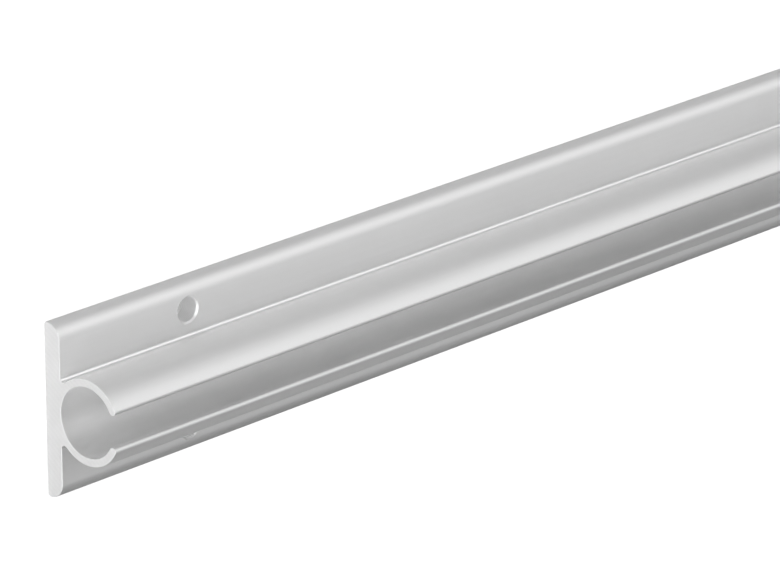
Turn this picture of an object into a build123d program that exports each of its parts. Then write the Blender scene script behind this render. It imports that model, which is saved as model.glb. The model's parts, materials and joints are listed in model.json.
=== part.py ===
from build123d import *
import math
import os

# Driving dimensions, in millimetres.
# The rail lies on its flat back: X runs along the length, Y across the plate, Z out of the plate.
rail_length = 1000.0

# Mounting plate. Its long edges are eased at the back and rounded at the front, and the front round
# takes all of the thickness that the back radius and a narrow flat leave.
plate_width = 26.0
plate_thickness = 3.0
back_edge_radius = 0.5
edge_flat = 0.1

# Round channel that holds the bead of the awning, open through a slot at the front
bead_bore_diameter = 10.4
channel_wall = 1.2
slot_width = 4.8
lip_outer_radius = 0.5
lip_inner_radius = 0.4
root_fillet_radius = 0.6

# Screw holes, drilled in pairs above and below the channel. No pair is nearer to a sawn end than
# the end distance, and at this length the first and last pairs lie exactly there.
screw_hole_diameter = 3.4
mouth_chamfer = 0.4
hole_row_spacing = 17.5
hole_pitch = 190.0
end_distance = 25.0

# Worked out from the driving dimensions. The bottom of the bead bore is level with the plate's front.
front_edge_radius = plate_thickness - back_edge_radius - edge_flat
bore_radius = bead_bore_diameter / 2
channel_radius = bore_radius + channel_wall
channel_height = plate_thickness + bore_radius
screw_hole_radius = screw_hole_diameter / 2
mouth_radius = screw_hole_radius + mouth_chamfer
pair_count = math.floor((rail_length - 2 * end_distance) / hole_pitch) + 1


def corners_at(section, half_width, height):
    """The two corners of the section that lie at plus and minus half_width, at one height."""
    places = [Vector(side * half_width, height) for side in (-1, 1)]
    return [min(section.vertices(), key=lambda corner: (Vector(corner) - place).length) for place in places]


def plate_section():
    """The flat plate: large rounds on the front corners, small ones on the back corners."""
    plate = Rectangle(plate_width, plate_thickness, align=(Align.CENTER, Align.MIN))
    plate = fillet(corners_at(plate, plate_width / 2, plate_thickness), front_edge_radius)
    return fillet(corners_at(plate, plate_width / 2, 0), back_edge_radius)


def rail_section():
    """The whole section, in one plane: plate, round channel, fillets at its root, and open slot."""
    channel_centre = Pos(0, channel_height)
    section = plate_section() + channel_centre * Circle(channel_radius)
    root_half_width = math.sqrt(channel_radius**2 - bore_radius**2)
    section = fillet(corners_at(section, root_half_width, plate_thickness), root_fillet_radius)

    slot = Rectangle(slot_width, 2 * channel_radius, align=(Align.CENTER, Align.MIN))
    section -= channel_centre * (Circle(bore_radius) + slot)

    lip_half_width = slot_width / 2
    lip_outer_height = channel_height + math.sqrt(channel_radius**2 - lip_half_width**2)
    lip_inner_height = channel_height + math.sqrt(bore_radius**2 - lip_half_width**2)
    section = fillet(corners_at(section, lip_half_width, lip_outer_height), lip_outer_radius)
    return fillet(corners_at(section, lip_half_width, lip_inner_height), lip_inner_radius)


def screw_hole():
    """The space of one screw hole: a drilled hole through the plate with a chamfered mouth."""
    drilled = Cylinder(screw_hole_radius, plate_thickness, align=(Align.CENTER, Align.CENTER, Align.MIN))
    mouth = Cone(screw_hole_radius, mouth_radius, mouth_chamfer, align=(Align.CENTER, Align.CENTER, Align.MAX))
    return drilled + Pos(0, 0, plate_thickness) * mouth


def hole_places():
    """The centres of the screw holes, in pairs, evenly spread about the middle of the rail."""
    first = -(pair_count - 1) * hole_pitch / 2
    row = hole_row_spacing / 2
    return [Pos(first + pair * hole_pitch, side * row, 0) for pair in range(pair_count) for side in (-1, 1)]


def awning_rail():
    """The extruded rail with its drilled screw holes."""
    section = Plane.YZ.offset(-rail_length / 2) * rail_section()
    rail = extrude(section, rail_length)
    hole = screw_hole()
    return rail - [place * hole for place in hole_places()]


os.makedirs("parts", exist_ok=True)
export_step(awning_rail(), "parts/awning_rail.step")
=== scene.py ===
import json
import math

import bmesh
import bpy
from mathutils import Matrix, Vector


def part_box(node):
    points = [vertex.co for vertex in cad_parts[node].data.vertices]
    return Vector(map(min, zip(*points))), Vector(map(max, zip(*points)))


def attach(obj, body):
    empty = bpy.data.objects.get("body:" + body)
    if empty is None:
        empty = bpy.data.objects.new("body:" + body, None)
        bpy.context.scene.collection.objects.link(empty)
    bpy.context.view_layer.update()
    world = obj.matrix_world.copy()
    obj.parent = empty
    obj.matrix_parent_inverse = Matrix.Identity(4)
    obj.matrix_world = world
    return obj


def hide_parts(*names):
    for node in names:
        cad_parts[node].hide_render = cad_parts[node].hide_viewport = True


# %% [markdown]
# An awning rail is one aluminium extrusion: a flat plate that is screwed to the side of a caravan, with a
# round channel along its front that holds the bead sewn into an awning's edge. The frame already holds its
# solid, in coarse facets. Here the same section is drawn again, much finer, because the eye reads the
# quality of satin metal from how evenly its tones run round the curves.

# %% Load the frame
MM = 0.001
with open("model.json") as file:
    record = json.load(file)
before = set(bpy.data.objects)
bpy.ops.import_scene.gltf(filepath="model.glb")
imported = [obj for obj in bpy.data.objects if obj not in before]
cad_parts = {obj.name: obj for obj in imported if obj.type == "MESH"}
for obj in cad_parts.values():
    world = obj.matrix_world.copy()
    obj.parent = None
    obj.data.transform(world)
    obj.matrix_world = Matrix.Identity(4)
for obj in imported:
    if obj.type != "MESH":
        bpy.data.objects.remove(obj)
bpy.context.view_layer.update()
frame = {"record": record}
rail_low, rail_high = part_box("awning_rail")
mounts = {mount["name"]: mount for mount in frame["record"]["mounts"]}
rail_length = rail_high.x - rail_low.x
print(f"rail {rail_length / MM:.0f} mm long, {(rail_high.z - rail_low.z) / MM:.2f} mm deep")

# %% [markdown]
# The section is the part of an extrusion that takes care: every straight and every round of it runs the
# whole length. These are its real sizes. The width comes from the frame, and so do the bore and the
# screw holes, which are stated there as places to fasten things.

# %% Sizes of the section
plate_half_width = rail_high.y
plate_thickness = 3.0 * MM
back_edge_radius = 0.5 * MM
edge_flat = 0.1 * MM
front_edge_radius = plate_thickness - back_edge_radius - edge_flat
channel_wall = 1.2 * MM
bore_radius = mounts["bead_channel"]["dims"]["r_mm"] * MM
channel_radius = bore_radius + channel_wall
channel_height = mounts["bead_channel"]["pos_m"][2]
lip_half_gap = 2.4 * MM
lip_outer_radius = 0.5 * MM
lip_inner_radius = 0.4 * MM
root_fillet_radius = 0.6 * MM
print(f"bore {2 * bore_radius / MM:.1f} mm across, its centre {channel_height / MM:.1f} mm up")

# %% [markdown]
# A pen draws the outline: one vertex is extruded for a straight stretch and spun for a round one, so each
# curve is a true arc and no point is typed in. A straight stretch gets an extra vertex just inside each of
# its ends, which keeps the shading of the flat quite flat when the curves beside it are shaded smooth. A
# stretch too short for that is drawn with one stroke.

# %% Pen strokes
ARC_STEP = math.radians(3)
FLAT_MARGIN = 0.12 * MM
SHORTEST_FLAT = 4 * FLAT_MARGIN


def extruded_to(mesh, tip, y, z):
    """A plain stroke: the tip is extruded once, and its copy moved."""
    tip = bmesh.ops.extrude_vert_indiv(mesh, verts=[tip])["verts"][0]
    tip.co.y, tip.co.z = y, z
    return tip


def straight(mesh, tip, y, z):
    """A flat of the section, with a vertex just inside both of its ends."""
    start, end = tip.co.yz, Vector((y, z))
    margin = (end - start).normalized() * FLAT_MARGIN
    if (end - start).length > SHORTEST_FLAT:
        tip = extruded_to(mesh, tip, *(start + margin))
        tip = extruded_to(mesh, tip, *(end - margin))
    return extruded_to(mesh, tip, *end)


def arc(mesh, tip, centre_y, centre_z, degrees):
    """A round of the section: the tip is spun about a centre, from +Y towards +Z."""
    steps = math.ceil(abs(math.radians(degrees)) / ARC_STEP)
    spun = bmesh.ops.spin(mesh, geom=[tip], cent=(tip.co.x, centre_y, centre_z), axis=(1, 0, 0),
                          angle=math.radians(degrees), steps=steps, use_duplicate=False)
    return next(item for item in spun["geom_last"] if isinstance(item, bmesh.types.BMVert))


def bearing(y, z):
    """The direction of a point from the origin, in degrees from +Y towards +Z."""
    return math.degrees(math.atan2(z, y))


# %% [markdown]
# Half of the section is drawn and then mirrored. The pen starts in the middle of the back and goes round the
# plate's edge to the channel's root. Where two rounds touch, their centres and the touching point lie on one
# line, and the bearing of that line says where one arc ends and the next begins.

# %% Draw the plate and the root
SAME_PLACE = 0.001 * MM
rail_mesh = bmesh.new()
tip = rail_mesh.verts.new((rail_low.x, 0, 0))
tip = straight(rail_mesh, tip, plate_half_width - back_edge_radius, 0)
tip = arc(rail_mesh, tip, plate_half_width - back_edge_radius, back_edge_radius, 90)
tip = extruded_to(rail_mesh, tip, plate_half_width, back_edge_radius + edge_flat)
tip = arc(rail_mesh, tip, plate_half_width - front_edge_radius, back_edge_radius + edge_flat, 90)

root_z = plate_thickness + root_fillet_radius
root_y = math.sqrt((channel_radius + root_fillet_radius)**2 - (channel_height - root_z)**2)
root_bearing = bearing(root_y, root_z - channel_height)
tip = straight(rail_mesh, tip, root_y, plate_thickness)
tip = arc(rail_mesh, tip, root_y, root_z, -90 + root_bearing)
print(f"at the channel's root: y {tip.co.y / MM:.2f}, z {tip.co.z / MM:.2f} mm")

# %% [markdown]
# Then the pen goes up the outside of the channel, round the lip, and down the bore to its bottom, which is
# level with the front of the plate.

# %% Draw the lip and the bore
outer_y = lip_half_gap + lip_outer_radius
outer_z = channel_height + math.sqrt((channel_radius - lip_outer_radius)**2 - outer_y**2)
outer_bearing = bearing(outer_y, outer_z - channel_height)
tip = arc(rail_mesh, tip, 0, channel_height, outer_bearing - root_bearing)
tip = arc(rail_mesh, tip, outer_y, outer_z, 180 - outer_bearing)

inner_y = lip_half_gap + lip_inner_radius
inner_z = channel_height + math.sqrt((bore_radius + lip_inner_radius)**2 - inner_y**2)
inner_bearing = bearing(inner_y, inner_z - channel_height)
tip = extruded_to(rail_mesh, tip, lip_half_gap, inner_z)
tip = arc(rail_mesh, tip, inner_y, inner_z, inner_bearing)
tip = arc(rail_mesh, tip, 0, channel_height, -90 - inner_bearing)
print(f"pen stopped at y {tip.co.y / MM:.4f}, z {tip.co.z / MM:.4f} mm,",
      f"and the bore's bottom is at z {(channel_height - bore_radius) / MM:.4f} mm")

bmesh.ops.mirror(rail_mesh, geom=rail_mesh.verts[:] + rail_mesh.edges[:], axis="Y",
                 merge_dist=SAME_PLACE)
print(f"section of {len(rail_mesh.verts)} vertices and {len(rail_mesh.edges)} edges")

# %% [markdown]
# The saw leaves the ends square, and a file takes the burr off their rim. So the outline is filled, the
# face is extruded along the rail, and the edges round both ends get a very small bevel, which catches the
# light.

# %% Extrude the rail and ease its ends
END_BEVEL = 0.1 * MM
end_face = bmesh.ops.contextual_create(rail_mesh, geom=rail_mesh.edges[:])["faces"]
grown = bmesh.ops.extrude_face_region(rail_mesh, geom=end_face)["geom"]
bmesh.ops.translate(rail_mesh, vec=(rail_length, 0, 0),
                    verts=[item for item in grown if isinstance(item, bmesh.types.BMVert)])
bmesh.ops.recalc_face_normals(rail_mesh, faces=rail_mesh.faces[:])
end_rims = [edge for edge in rail_mesh.edges
            if abs(edge.verts[0].co.x - edge.verts[1].co.x) < SAME_PLACE]
bmesh.ops.bevel(rail_mesh, geom=end_rims, affect="EDGES", offset=END_BEVEL, offset_type="OFFSET",
                segments=2, profile=0.5, clamp_overlap=True, material=-1)
print(f"{len(rail_mesh.faces)} faces, volume {rail_mesh.calc_volume() / MM**3:.0f} mm3")

# %% [markdown]
# The screw holes come in pairs, one hole above the channel and one below. The frame states them in three
# groups of four. A cut through one long flat face would leave triangles as long as the rail, so rings of
# edges are laid beside each pair first, which keep them short.

# %% Places of the screw holes
MOUTH_EASE = 0.4 * MM
CUT_SNAP = 0.0001 * MM
hole_radius = mounts["screw_holes_middle"]["dims"]["hole_r_mm"] * MM
mouth_radius = hole_radius + MOUTH_EASE
hole_places = []
for name in ("screw_holes_left", "screw_holes_middle", "screw_holes_right"):
    centre, dims = mounts[name]["pos_m"], mounts[name]["dims"]
    for side_x in (-1, 1):
        for side_y in (-1, 1):
            hole_places.append(Vector((centre[0] + side_x * dims["spacing_x_mm"] * MM / 2,
                                       centre[1] + side_y * dims["spacing_y_mm"] * MM / 2, 0)))

# The holes of a pair follow each other in the list and share their X, so every second one is enough.
ring_gap = 2 * mouth_radius
for place in hole_places[::2]:
    for side in (-1, 1):
        everything = rail_mesh.verts[:] + rail_mesh.edges[:] + rail_mesh.faces[:]
        bmesh.ops.bisect_plane(rail_mesh, geom=everything, dist=CUT_SNAP,
                               plane_co=(place.x + side * ring_gap, 0, 0), plane_no=(1, 0, 0))
print(f"{len(hole_places)} holes of {2 * hole_radius / MM:.1f} mm, the first at x {hole_places[0].x:.3f} m")

# %% [markdown]
# Each screw hole is nearly a plain cylinder, with only a narrow bright rim where its mouth is deburred. The
# frame's solid is plainer there: a straight hole with a wider chamfer. Both have the same size at the back
# and at the mouth, and between them this one widens gently, which is what the photograph shows. A drill is
# a turned shape: half of its outline, spun round its axis. It starts below the plate and ends above it, so
# that it cuts cleanly through both faces.

# %% Turn the drills
MOUTH_RIM = 0.25 * MM
OVERCUT = 1.0 * MM
DRILL_SEGMENTS = 64
half_outline = (
    (0, -OVERCUT), (hole_radius, -OVERCUT), (hole_radius, 0),
    (mouth_radius - MOUTH_RIM, plate_thickness - MOUTH_RIM),
    (mouth_radius + OVERCUT, plate_thickness + OVERCUT), (0, plate_thickness + OVERCUT))

drill_mesh = bmesh.new()
for place in hole_places:
    corners = [drill_mesh.verts.new(place + Vector((radius, 0, height))) for radius, height in half_outline]
    edges = [drill_mesh.edges.new(pair) for pair in zip(corners[:-1], corners[1:])]
    bmesh.ops.spin(drill_mesh, geom=corners + edges, cent=place, axis=(0, 0, 1), angle=math.tau,
                   steps=DRILL_SEGMENTS, use_merge=True, use_duplicate=False)
bmesh.ops.remove_doubles(drill_mesh, verts=drill_mesh.verts[:], dist=SAME_PLACE)
bmesh.ops.recalc_face_normals(drill_mesh, faces=drill_mesh.faces[:])
print(f"{len(hole_places)} drills, {len(drill_mesh.faces)} faces")

# %% [markdown]
# All the drills are one mesh, so a single Boolean cuts every hole. Its result is taken as a plain mesh, and
# the modifier and the drills are thrown away. A closed rail has no open edges, which is checked.

# %% Cut the holes


def new_object(name, mesh):
    """An object for a finished bmesh, in the scene."""
    data = bpy.data.meshes.new(name)
    mesh.to_mesh(data)
    mesh.free()
    thing = bpy.data.objects.new(name, data)
    bpy.context.scene.collection.objects.link(thing)
    return thing


rail = new_object("anodised_rail", rail_mesh)
drills = new_object("drills", drill_mesh)
cut = rail.modifiers.new("screw_holes", "BOOLEAN")
cut.operation, cut.solver, cut.object = "DIFFERENCE", "EXACT", drills
bpy.context.view_layer.update()
finished = rail.evaluated_get(bpy.context.evaluated_depsgraph_get())
drilled = bpy.data.meshes.new_from_object(finished)
rail.modifiers.clear()
rail.data = drilled
bpy.data.objects.remove(drills)

check = bmesh.new()
check.from_mesh(rail.data)
open_edges = sum(not edge.is_manifold for edge in check.edges)
print(f"rail: {len(check.faces)} faces, {open_edges} open edges,",
      f"volume {check.calc_volume() / MM**3:.0f} mm3")
check.free()

# %% [markdown]
# The photograph was taken from the front left, with a long lens, so the rail narrows only a little as it
# runs away to the right. The camera's place is given in millimetres from the middle of the sawn end, at the
# back of the plate. The rail's width points up in the picture, so the camera's own up is the rail's +Y,
# leaned over by less than half a degree.

# %% Camera
near_end = Vector((rail_low.x, 0, 0))
camera_place = near_end + Vector((-497.24, 277.59, 533.91)) * MM
camera_sight = Vector((0.68547, -0.33697, -0.64543)).normalized()
camera_lean = Vector((0.0031, 1, 0))

camera_data = bpy.data.cameras.new("camera")
camera_data.sensor_width = 36
camera_data.lens = 258.7
camera = bpy.data.objects.new("camera", camera_data)
bpy.context.scene.collection.objects.link(camera)
bpy.context.scene.camera = camera

camera_right = camera_sight.cross(camera_lean).normalized()
camera_up = camera_right.cross(camera_sight)
camera_turn = Matrix((camera_right, camera_up, -camera_sight)).transposed().to_4x4()
camera.matrix_world = Matrix.Translation(camera_place) @ camera_turn
looks_down = math.degrees(math.asin(-camera_sight.z))
print(f"camera looks down by {looks_down:.1f} degrees,",
      f"{(camera_place - near_end).length:.2f} m from the sawn end")

# %% [markdown]
# Every colour is written as the hex value that a designer would pick on screen, and one function turns it
# into the linear light that a shader works in. A second small function adds any node with its settings,
# its constants and its links, so that each material below reads as a short list.

# %% Colours and nodes


def linear(hex_colour):
    """An sRGB hex colour as linear red, green, blue and alpha."""
    levels = [int(hex_colour[start:start + 2], 16) / 255 for start in (1, 3, 5)]
    return [level / 12.92 if level <= 0.04045 else ((level + 0.055) / 1.055)**2.4 for level in levels] + [1]


def add_node(tree, kind, constants=None, links=None, **settings):
    """A node with its settings, the constants on its sockets and the links into them."""
    node = tree.nodes.new(kind)
    for name, value in settings.items():
        setattr(node, name, value)
    for socket, value in (constants or {}).items():
        node.inputs[socket].default_value = value
    for socket, source in (links or {}).items():
        tree.links.new(source, node.inputs[socket])
    return node


def new_material(name):
    """An empty node material and its tree."""
    material = bpy.data.materials.new(name)
    material.use_nodes = True
    material.node_tree.nodes.clear()
    return material, material.node_tree


# %% [markdown]
# The rail lies on a wide white table. In the photograph the table is burnt out to plain white, yet the metal
# mirrors it as a soft grey. So there are two tables. The camera sees the first, most of whose white is light
# of its own, which leaves no shadow and stays as white beyond the reach of the lights. The metal mirrors the
# second, an ordinary matt one. They lie a little below the rail's back, each at its own depth, so that no two
# sheets meet.

# %% Two tables
TABLE_SIZE = (40, 40)
TABLE_DROP = 0.1 * MM
MIRRORED_DROP = 0.3 * MM


def new_sheet(name, material, height, size, middle=(0, 0)):
    """A flat level sheet at a height, in one material, that isn't part of the object."""
    sheet = bmesh.new()
    bmesh.ops.create_grid(sheet, x_segments=1, y_segments=1, size=0.5)
    bmesh.ops.scale(sheet, vec=(*size, 1), verts=sheet.verts[:])
    bmesh.ops.translate(sheet, vec=(*middle, height), verts=sheet.verts[:])
    thing = new_object(name, sheet)
    thing.data.materials.append(material)
    return thing


white_table, tree = new_material("white_table")
shader = add_node(tree, "ShaderNodeBsdfPrincipled", {
    "Base Color": linear("#595959"), "Roughness": 0.9,
    "Emission Color": linear("#ffffff"), "Emission Strength": 1.0})
add_node(tree, "ShaderNodeOutputMaterial", links={"Surface": shader.outputs["BSDF"]})
seen_table = new_sheet("table", white_table, -TABLE_DROP, TABLE_SIZE)
for ray in ("visible_glossy", "visible_diffuse", "visible_shadow"):
    setattr(seen_table, ray, False)

matt_table, tree = new_material("matt_table")
shader = add_node(tree, "ShaderNodeBsdfPrincipled", {
    "Base Color": linear("#e1e1e1"), "Roughness": 1.0, "Specular IOR Level": 0.0})
add_node(tree, "ShaderNodeOutputMaterial", links={"Surface": shader.outputs["BSDF"]})
mirrored_table = new_sheet("mirrored_table", matt_table, -MIRRORED_DROP, TABLE_SIZE)
mirrored_table.visible_camera = False
print(f"two tables, {TABLE_SIZE[0]} m wide")

# %% [markdown]
# Two cards lie on the table beside the rail, and only the metal sees them. Both are painted shade: a wide
# dark one along the lower edge stands for the table's shade there, and a narrow grey one gives the upper edge
# a darker line.

# %% Cards of painted shade beside the rail
CARD_DROP = 0.2 * MM
CARD_GAP = 0.5 * MM
LOWER_CARD = (1.2, 40 * MM)
UPPER_CARD = (1.2, 6 * MM)


def new_painted_shade_card(name, hex_colour, size, edge_y, outward):
    """A matt card of painted shade beside a long edge of the rail, flush with the near end, hidden from the
    camera.
    """
    shade_material, tree = new_material(name)
    shader = add_node(tree, "ShaderNodeBsdfPrincipled", {
        "Base Color": linear(hex_colour), "Roughness": 1.0, "Specular IOR Level": 0.0})
    add_node(tree, "ShaderNodeOutputMaterial", links={"Surface": shader.outputs["BSDF"]})
    middle = (rail_low.x + size[0] / 2, edge_y + outward * (CARD_GAP + size[1] / 2))
    card = new_sheet(name, shade_material, -CARD_DROP, size, middle)
    card.visible_camera = False
    print(f"{name}: {size[0]} by {size[1]:.3f} m")


# Painted shade in the metal's reflections: the dark card for the table's shade below the rail, the grey one
# for a darker line along the upper edge.
new_painted_shade_card("painted_shade_lower_card", "#1c1c1c", LOWER_CARD, rail_low.y, -1)
new_painted_shade_card("painted_shade_upper_card", "#cacaca", UPPER_CARD, rail_high.y, 1)

# %% [markdown]
# The table that shows through the screw holes lies in the rail's shadow. The white table shows no shadow, so
# that shadow is painted: a strip of its own, a little narrower than the rail, that glows an even grey. A
# white dome stands behind everything, for views from low down.

# %% Strip of painted shadow, and dome
STRIP_DROP = 0.05 * MM
STRIP_INSET = 1.0 * MM
DOME_RADIUS = 18

# The strip's grey is painted shadow: it glows by itself and no lamp shades it.
painted_shadow_table, tree = new_material("painted_shadow_table")
shader = add_node(tree, "ShaderNodeEmission", {"Color": linear("#b0b0b0")})
add_node(tree, "ShaderNodeOutputMaterial", links={"Surface": shader.outputs["Emission"]})
strip_size = (rail_length - 2 * STRIP_INSET, 2 * (plate_half_width - STRIP_INSET))
new_sheet("painted_shadow_under_rail", painted_shadow_table, -STRIP_DROP, strip_size)

white_dome, tree = new_material("white_dome")
shader = add_node(tree, "ShaderNodeEmission", {"Color": linear("#ffffff")})
add_node(tree, "ShaderNodeOutputMaterial", links={"Surface": shader.outputs["Emission"]})
dome_mesh = bmesh.new()
bmesh.ops.create_uvsphere(dome_mesh, u_segments=48, v_segments=24, radius=DOME_RADIUS)
dome = new_object("backdrop_dome", dome_mesh)
dome.data.materials.append(white_dome)
for ray in ("visible_glossy", "visible_diffuse", "visible_transmission", "visible_shadow"):
    setattr(dome, ray, False)
print(f"strip {strip_size[1] / MM:.0f} mm wide, dome {DOME_RADIUS} m in radius")

# %% [markdown]
# Five soft boxes light the metal. The key stands high beyond the far end, off to the upper side, and draws
# the bright bands along the rounds. Two on the lower side, one high and small and one low and wide, keep the
# lip and the lower flange from going dark. Two stand in front of the sawn end, one above the other, and
# light the end, the holes' rims and the table there. All are two metres from the part of the rail that the
# picture shows, which keeps them even over it. How bright a box looks is its radiance, and the watts that
# Blender asks for are that radiance times pi times the area.

# %% Soft boxes
LIGHT_DISTANCE = 2.0
lit_middle = near_end + Vector((70, 0, 5)) * MM
scene = bpy.context.scene


def soft_box(name, bearing_degrees, height_degrees, width, height, radiance):
    """A rectangular light, set by its bearing from +X towards +Y and its height, turned to the rail."""
    bearing_angle, height_angle = math.radians(bearing_degrees), math.radians(height_degrees)
    direction = Vector((math.cos(height_angle) * math.cos(bearing_angle),
                        math.cos(height_angle) * math.sin(bearing_angle), math.sin(height_angle)))
    light = bpy.data.lights.new(name, "AREA")
    light.shape = "RECTANGLE"
    light.size, light.size_y = width, height
    light.energy = radiance * math.pi * width * height
    box = bpy.data.objects.new(name, light)
    scene.collection.objects.link(box)
    box.location = lit_middle + direction * LIGHT_DISTANCE
    box.rotation_euler = direction.to_track_quat("Z", "Y").to_euler()
    box.visible_camera = False
    print(f"{name}: {light.energy:.0f} W from {width} by {height} m")


soft_box("key_box", 45, 45, width=2.0, height=2.0, radiance=1.54)
soft_box("lower_box", -36, 52, width=1.2, height=1.2, radiance=0.81)
soft_box("front_box", 180, 25, width=3.0, height=1.6, radiance=2.41)
soft_box("high_front_box", 180, 50, width=2.0, height=1.0, radiance=2.90)
soft_box("low_side_box", -90, 8, width=3.0, height=0.6, radiance=0.40)

# %% [markdown]
# Satin anodising is a clear, hard skin that is grown on aluminium after a bath has etched it matt. The eye
# gets broad, soft highlights from it and no mirror image. The die leaves faint straight lines along the
# whole length, the etch leaves a fine grain, and large soft clouds keep any area from being one flat grey.
# In the photograph all three are only just there. The real lines and grain are too fine to show, so they
# are drawn several times coarser, and faint. A pattern's size is set by a Mapping node, whose scale is how
# often the pattern repeats in a metre.

# %% Satin anodised skin
DIE_LINE = (120 * MM, 0.5 * MM, 0.5 * MM)
ETCH_GRAIN = (0.35 * MM, 0.35 * MM, 0.35 * MM)
CLOUD = (60 * MM, 15 * MM, 15 * MM)
DIE_LINE_DEPTH = 0.002 * MM
ETCH_DEPTH = 0.001 * MM

# A Mix node keeps its colour sockets at these places, behind those for numbers and vectors.
COLOUR_A, COLOUR_B, COLOUR_RESULT = 6, 7, 2


def per_metre(sizes):
    """The scale of a Mapping node that makes a pattern's features as large as the sizes given."""
    return [1 / size for size in sizes]


anodised, tree = new_material("satin_anodised_aluminium")
own = add_node(tree, "ShaderNodeTexCoord").outputs["Object"]
along = add_node(tree, "ShaderNodeMapping", {"Scale": per_metre(DIE_LINE)}, {"Vector": own})
lines = add_node(tree, "ShaderNodeTexNoise", {"Scale": 1.0, "Detail": 3.0},
                 {"Vector": along.outputs["Vector"]})
fine = add_node(tree, "ShaderNodeMapping", {"Scale": per_metre(ETCH_GRAIN)}, {"Vector": own})
grain = add_node(tree, "ShaderNodeTexNoise", {"Scale": 1.0, "Detail": 1.0},
                 {"Vector": fine.outputs["Vector"]})
wide = add_node(tree, "ShaderNodeMapping", {"Scale": per_metre(CLOUD)}, {"Vector": own})
clouds = add_node(tree, "ShaderNodeTexNoise", {"Scale": 1.0, "Detail": 2.0},
                  {"Vector": wide.outputs["Vector"]})

tone = add_node(tree, "ShaderNodeMix", {"Factor": 0.5},
                {"A": lines.outputs["Fac"], "B": clouds.outputs["Fac"]})
colour = add_node(tree, "ShaderNodeMix", {COLOUR_A: linear("#ededed"), COLOUR_B: linear("#f5f5f5")},
                  {"Factor": tone.outputs["Result"]}, data_type="RGBA")
matt = add_node(tree, "ShaderNodeMapRange", {"To Min": 0.55, "To Max": 0.65},
                {"Value": tone.outputs["Result"]})
line_bump = add_node(tree, "ShaderNodeBump", {"Distance": DIE_LINE_DEPTH},
                     {"Height": lines.outputs["Fac"]})
grain_bump = add_node(tree, "ShaderNodeBump", {"Distance": ETCH_DEPTH},
                      {"Height": grain.outputs["Fac"], "Normal": line_bump.outputs["Normal"]})
shader = add_node(tree, "ShaderNodeBsdfPrincipled", {"Metallic": 1.0},
                  {"Base Color": colour.outputs[COLOUR_RESULT], "Roughness": matt.outputs["Result"],
                   "Normal": grain_bump.outputs["Normal"]})
add_node(tree, "ShaderNodeOutputMaterial", links={"Surface": shader.outputs["BSDF"]})
print(f"anodised skin: {len(tree.nodes)} nodes")

# %% [markdown]
# The rail is sawn to length after it is anodised, so its ends are bare aluminium. A fine circular blade
# leaves shallow arcs, which the eye takes as one even matt grey. They are drawn about three times as far
# apart as the teeth leave them, about a centre that lies where the saw's spindle was. A wave texture of
# scale 1 repeats 20 times in a full turn of 2 pi, so its scale is set to bring that back to once. Blotches
# a few millimetres wide vary the tone between the arcs.

# %% Sawn ends
SAW_ARC = 0.7 * MM
SPINDLE = (0, -90 * MM, -60 * MM)
SAW_DEPTH = 0.003 * MM
BLOTCH = (2.5 * MM, 2.5 * MM, 2.5 * MM)
WAVE_SCALE = math.tau / 20

sawn, tree = new_material("sawn_aluminium")
own = add_node(tree, "ShaderNodeTexCoord").outputs["Object"]
centred = [-place / SAW_ARC for place in SPINDLE]
from_spindle = add_node(tree, "ShaderNodeMapping", {"Scale": per_metre([SAW_ARC] * 3), "Location": centred},
                        {"Vector": own})
arcs = add_node(tree, "ShaderNodeTexWave", {"Scale": WAVE_SCALE, "Distortion": 1.0, "Detail": 1.0},
                {"Vector": from_spindle.outputs["Vector"]}, wave_type="RINGS", rings_direction="X")
mottled = add_node(tree, "ShaderNodeMapping", {"Scale": per_metre(BLOTCH)}, {"Vector": own})
blotches = add_node(tree, "ShaderNodeTexNoise", {"Scale": 1.0, "Detail": 3.0},
                    {"Vector": mottled.outputs["Vector"]})

tone = add_node(tree, "ShaderNodeMix", {"Factor": 0.6},
                {"A": arcs.outputs["Fac"], "B": blotches.outputs["Fac"]})
colour = add_node(tree, "ShaderNodeMix", {COLOUR_A: linear("#ececec"), COLOUR_B: linear("#f2f2f2")},
                  {"Factor": tone.outputs["Result"]}, data_type="RGBA")
matt = add_node(tree, "ShaderNodeMapRange", {"To Min": 0.55, "To Max": 0.65},
                {"Value": tone.outputs["Result"]})
arc_bump = add_node(tree, "ShaderNodeBump", {"Distance": SAW_DEPTH}, {"Height": arcs.outputs["Fac"]})
shader = add_node(tree, "ShaderNodeBsdfPrincipled", {"Metallic": 1.0},
                  {"Base Color": colour.outputs[COLOUR_RESULT], "Roughness": matt.outputs["Result"],
                   "Normal": arc_bump.outputs["Normal"]})
add_node(tree, "ShaderNodeOutputMaterial", links={"Surface": shader.outputs["BSDF"]})
print(f"sawn ends: {len(tree.nodes)} nodes")

# %% [markdown]
# The holes are drilled after anodising too, so their walls and rims are bare. A drill cuts cleaner than a
# saw, which makes them a trace brighter and less matt than the sawn ends and the skin. It also leaves fine
# feed rings, one above another. They are drawn a few times coarser than they are, and still hardly show.

# %% Drilled holes
FEED_RING = 0.3 * MM
FEED_DEPTH = 0.002 * MM

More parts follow.
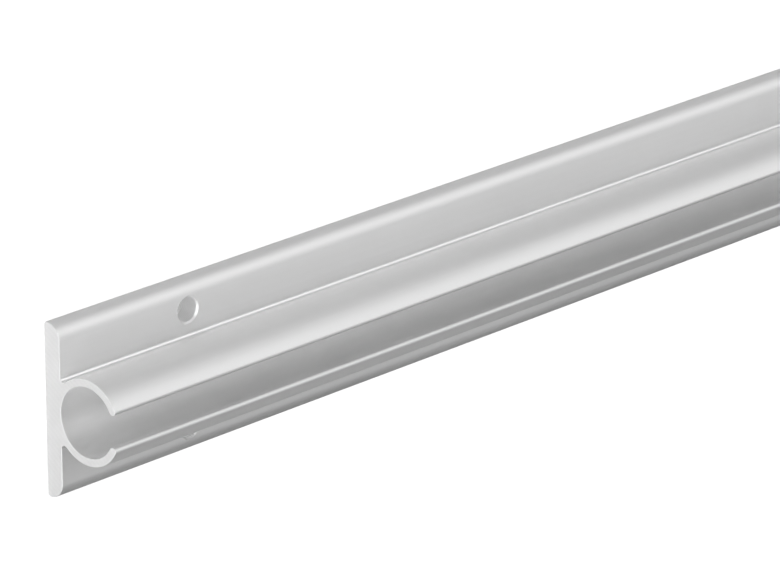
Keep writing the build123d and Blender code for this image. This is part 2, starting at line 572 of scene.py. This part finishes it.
drilled_metal, tree = new_material("drilled_aluminium")
own = add_node(tree, "ShaderNodeTexCoord").outputs["Object"]
by_turn = add_node(tree, "ShaderNodeMapping", {"Scale": per_metre([FEED_RING] * 3)}, {"Vector": own})
rings = add_node(tree, "ShaderNodeTexWave", {"Scale": WAVE_SCALE, "Distortion": 0.5},
                 {"Vector": by_turn.outputs["Vector"]}, wave_type="BANDS", bands_direction="Z")
colour = add_node(tree, "ShaderNodeMix", {COLOUR_A: linear("#f0f0f0"), COLOUR_B: linear("#f6f6f6")},
                  {"Factor": rings.outputs["Fac"]}, data_type="RGBA")
matt = add_node(tree, "ShaderNodeMapRange", {"To Min": 0.52, "To Max": 0.62},
                {"Value": rings.outputs["Fac"]})
ring_bump = add_node(tree, "ShaderNodeBump", {"Distance": FEED_DEPTH}, {"Height": rings.outputs["Fac"]})
shader = add_node(tree, "ShaderNodeBsdfPrincipled", {"Metallic": 1.0},
                  {"Base Color": colour.outputs[COLOUR_RESULT], "Roughness": matt.outputs["Result"],
                   "Normal": ring_bump.outputs["Normal"]})
add_node(tree, "ShaderNodeOutputMaterial", links={"Surface": shader.outputs["BSDF"]})
print(f"drilled holes: {len(tree.nodes)} nodes")

# %% [markdown]
# In the inner corners at the channel's root the etch bites less, so the finish there is smoother, with the
# same die lines. Its colour is also a trace lighter than the skin's: a painted highlight, which makes the
# corners show as a thin bright line along the rail.

# %% Burnished corners with a painted highlight
burnished_with_highlight, tree = new_material("burnished_aluminium_painted_highlight")
own = add_node(tree, "ShaderNodeTexCoord").outputs["Object"]
along = add_node(tree, "ShaderNodeMapping", {"Scale": per_metre(DIE_LINE)}, {"Vector": own})
lines = add_node(tree, "ShaderNodeTexNoise", {"Scale": 1.0, "Detail": 3.0},
                 {"Vector": along.outputs["Vector"]})
# A trace lighter than the skin: a painted highlight along the root. The lower roughness below is the smoother
# finish.
colour = add_node(tree, "ShaderNodeMix", {COLOUR_A: linear("#f0f0f0"), COLOUR_B: linear("#f8f8f8")},
                  {"Factor": lines.outputs["Fac"]}, data_type="RGBA")
matt = add_node(tree, "ShaderNodeMapRange", {"To Min": 0.40, "To Max": 0.48},
                {"Value": lines.outputs["Fac"]})
shader = add_node(tree, "ShaderNodeBsdfPrincipled", {"Metallic": 1.0},
                  {"Base Color": colour.outputs[COLOUR_RESULT], "Roughness": matt.outputs["Result"]})
add_node(tree, "ShaderNodeOutputMaterial", links={"Surface": shader.outputs["BSDF"]})
print(f"burnished corners: {len(tree.nodes)} nodes")

# %% [markdown]
# Each face gets the finish of the tool that made it, told apart by where it lies and how it faces. Faces
# next to the ends that look along the rail are sawn. Faces inside a hole that aren't level with the plate
# are drilled. The fillets at the channel's root are burnished and carry the painted highlight, and everything
# else is anodised skin.

# %% Finishes on the faces
SAWN, DRILLED, BURNISHED_WITH_HIGHLIGHT = 1, 2, 3
END_DEPTH = 1.5 * END_BEVEL
FACES_THE_END = 0.3
LEVEL = 0.99
HOLE_MARGIN = 0.01 * MM
BORE_MARGIN = 0.05 * MM
rail.data.materials.clear()
for finish in (anodised, sawn, drilled_metal, burnished_with_highlight):
    rail.data.materials.append(finish)


def in_hole(place):
    """Whether a place lies within the plate and the mouth of one of the screw holes."""
    in_mouth = any((place.xy - hole.xy).length < mouth_radius + HOLE_MARGIN for hole in hole_places)
    return in_mouth and 0 < place.z < plate_thickness


def in_root(place):
    """Whether a place lies on one of the fillets between the plate and the outside of the channel."""
    from_axis = (place.yz - Vector((0, channel_height))).length
    off_the_bore = from_axis > bore_radius + BORE_MARGIN
    return off_the_bore and abs(place.y) < root_y and plate_thickness < place.z < root_z


for face in rail.data.polygons:
    face.material_index = 0
    if abs(face.center.x) > rail_high.x - END_DEPTH and abs(face.normal.x) > FACES_THE_END:
        face.material_index = SAWN
    elif abs(face.normal.z) < LEVEL and in_hole(face.center):
        face.material_index = DRILLED
    elif in_root(face.center):
        face.material_index = BURNISHED_WITH_HIGHLIGHT
counts = [sum(face.material_index == index for face in rail.data.polygons) for index in range(4)]
print(f"{counts[0]} anodised faces, {counts[SAWN]} sawn, {counts[DRILLED]} drilled,",
      f"{counts[BURNISHED_WITH_HIGHLIGHT]} burnished")

# %% [markdown]
# The curves turn by only a few degrees from one face to the next, and are shaded smooth. An edge that turns
# by more stays crisp, such as those of the small bevels round the ends and of the holes' rims.

# %% Smooth curves and crisp edges
SHARP_ANGLE = math.radians(12)
rail.data.shade_smooth()
rail.data.set_sharp_from_angle(angle=SHARP_ANGLE)
print(f"edges that turn by more than {math.degrees(SHARP_ANGLE):.0f} degrees are sharp")

# %% [markdown]
# The picture's tones go to the screen as they are. Light bounces about inside the channel, so reflections
# get eight bounces. At the end the finished rail takes the place of the frame's plain one and rides on the
# part's only body.

# %% View and hand over
scene.view_settings.view_transform = "Standard"
scene.cycles.glossy_bounces = 8

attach(rail, "root")
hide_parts("awning_rail")
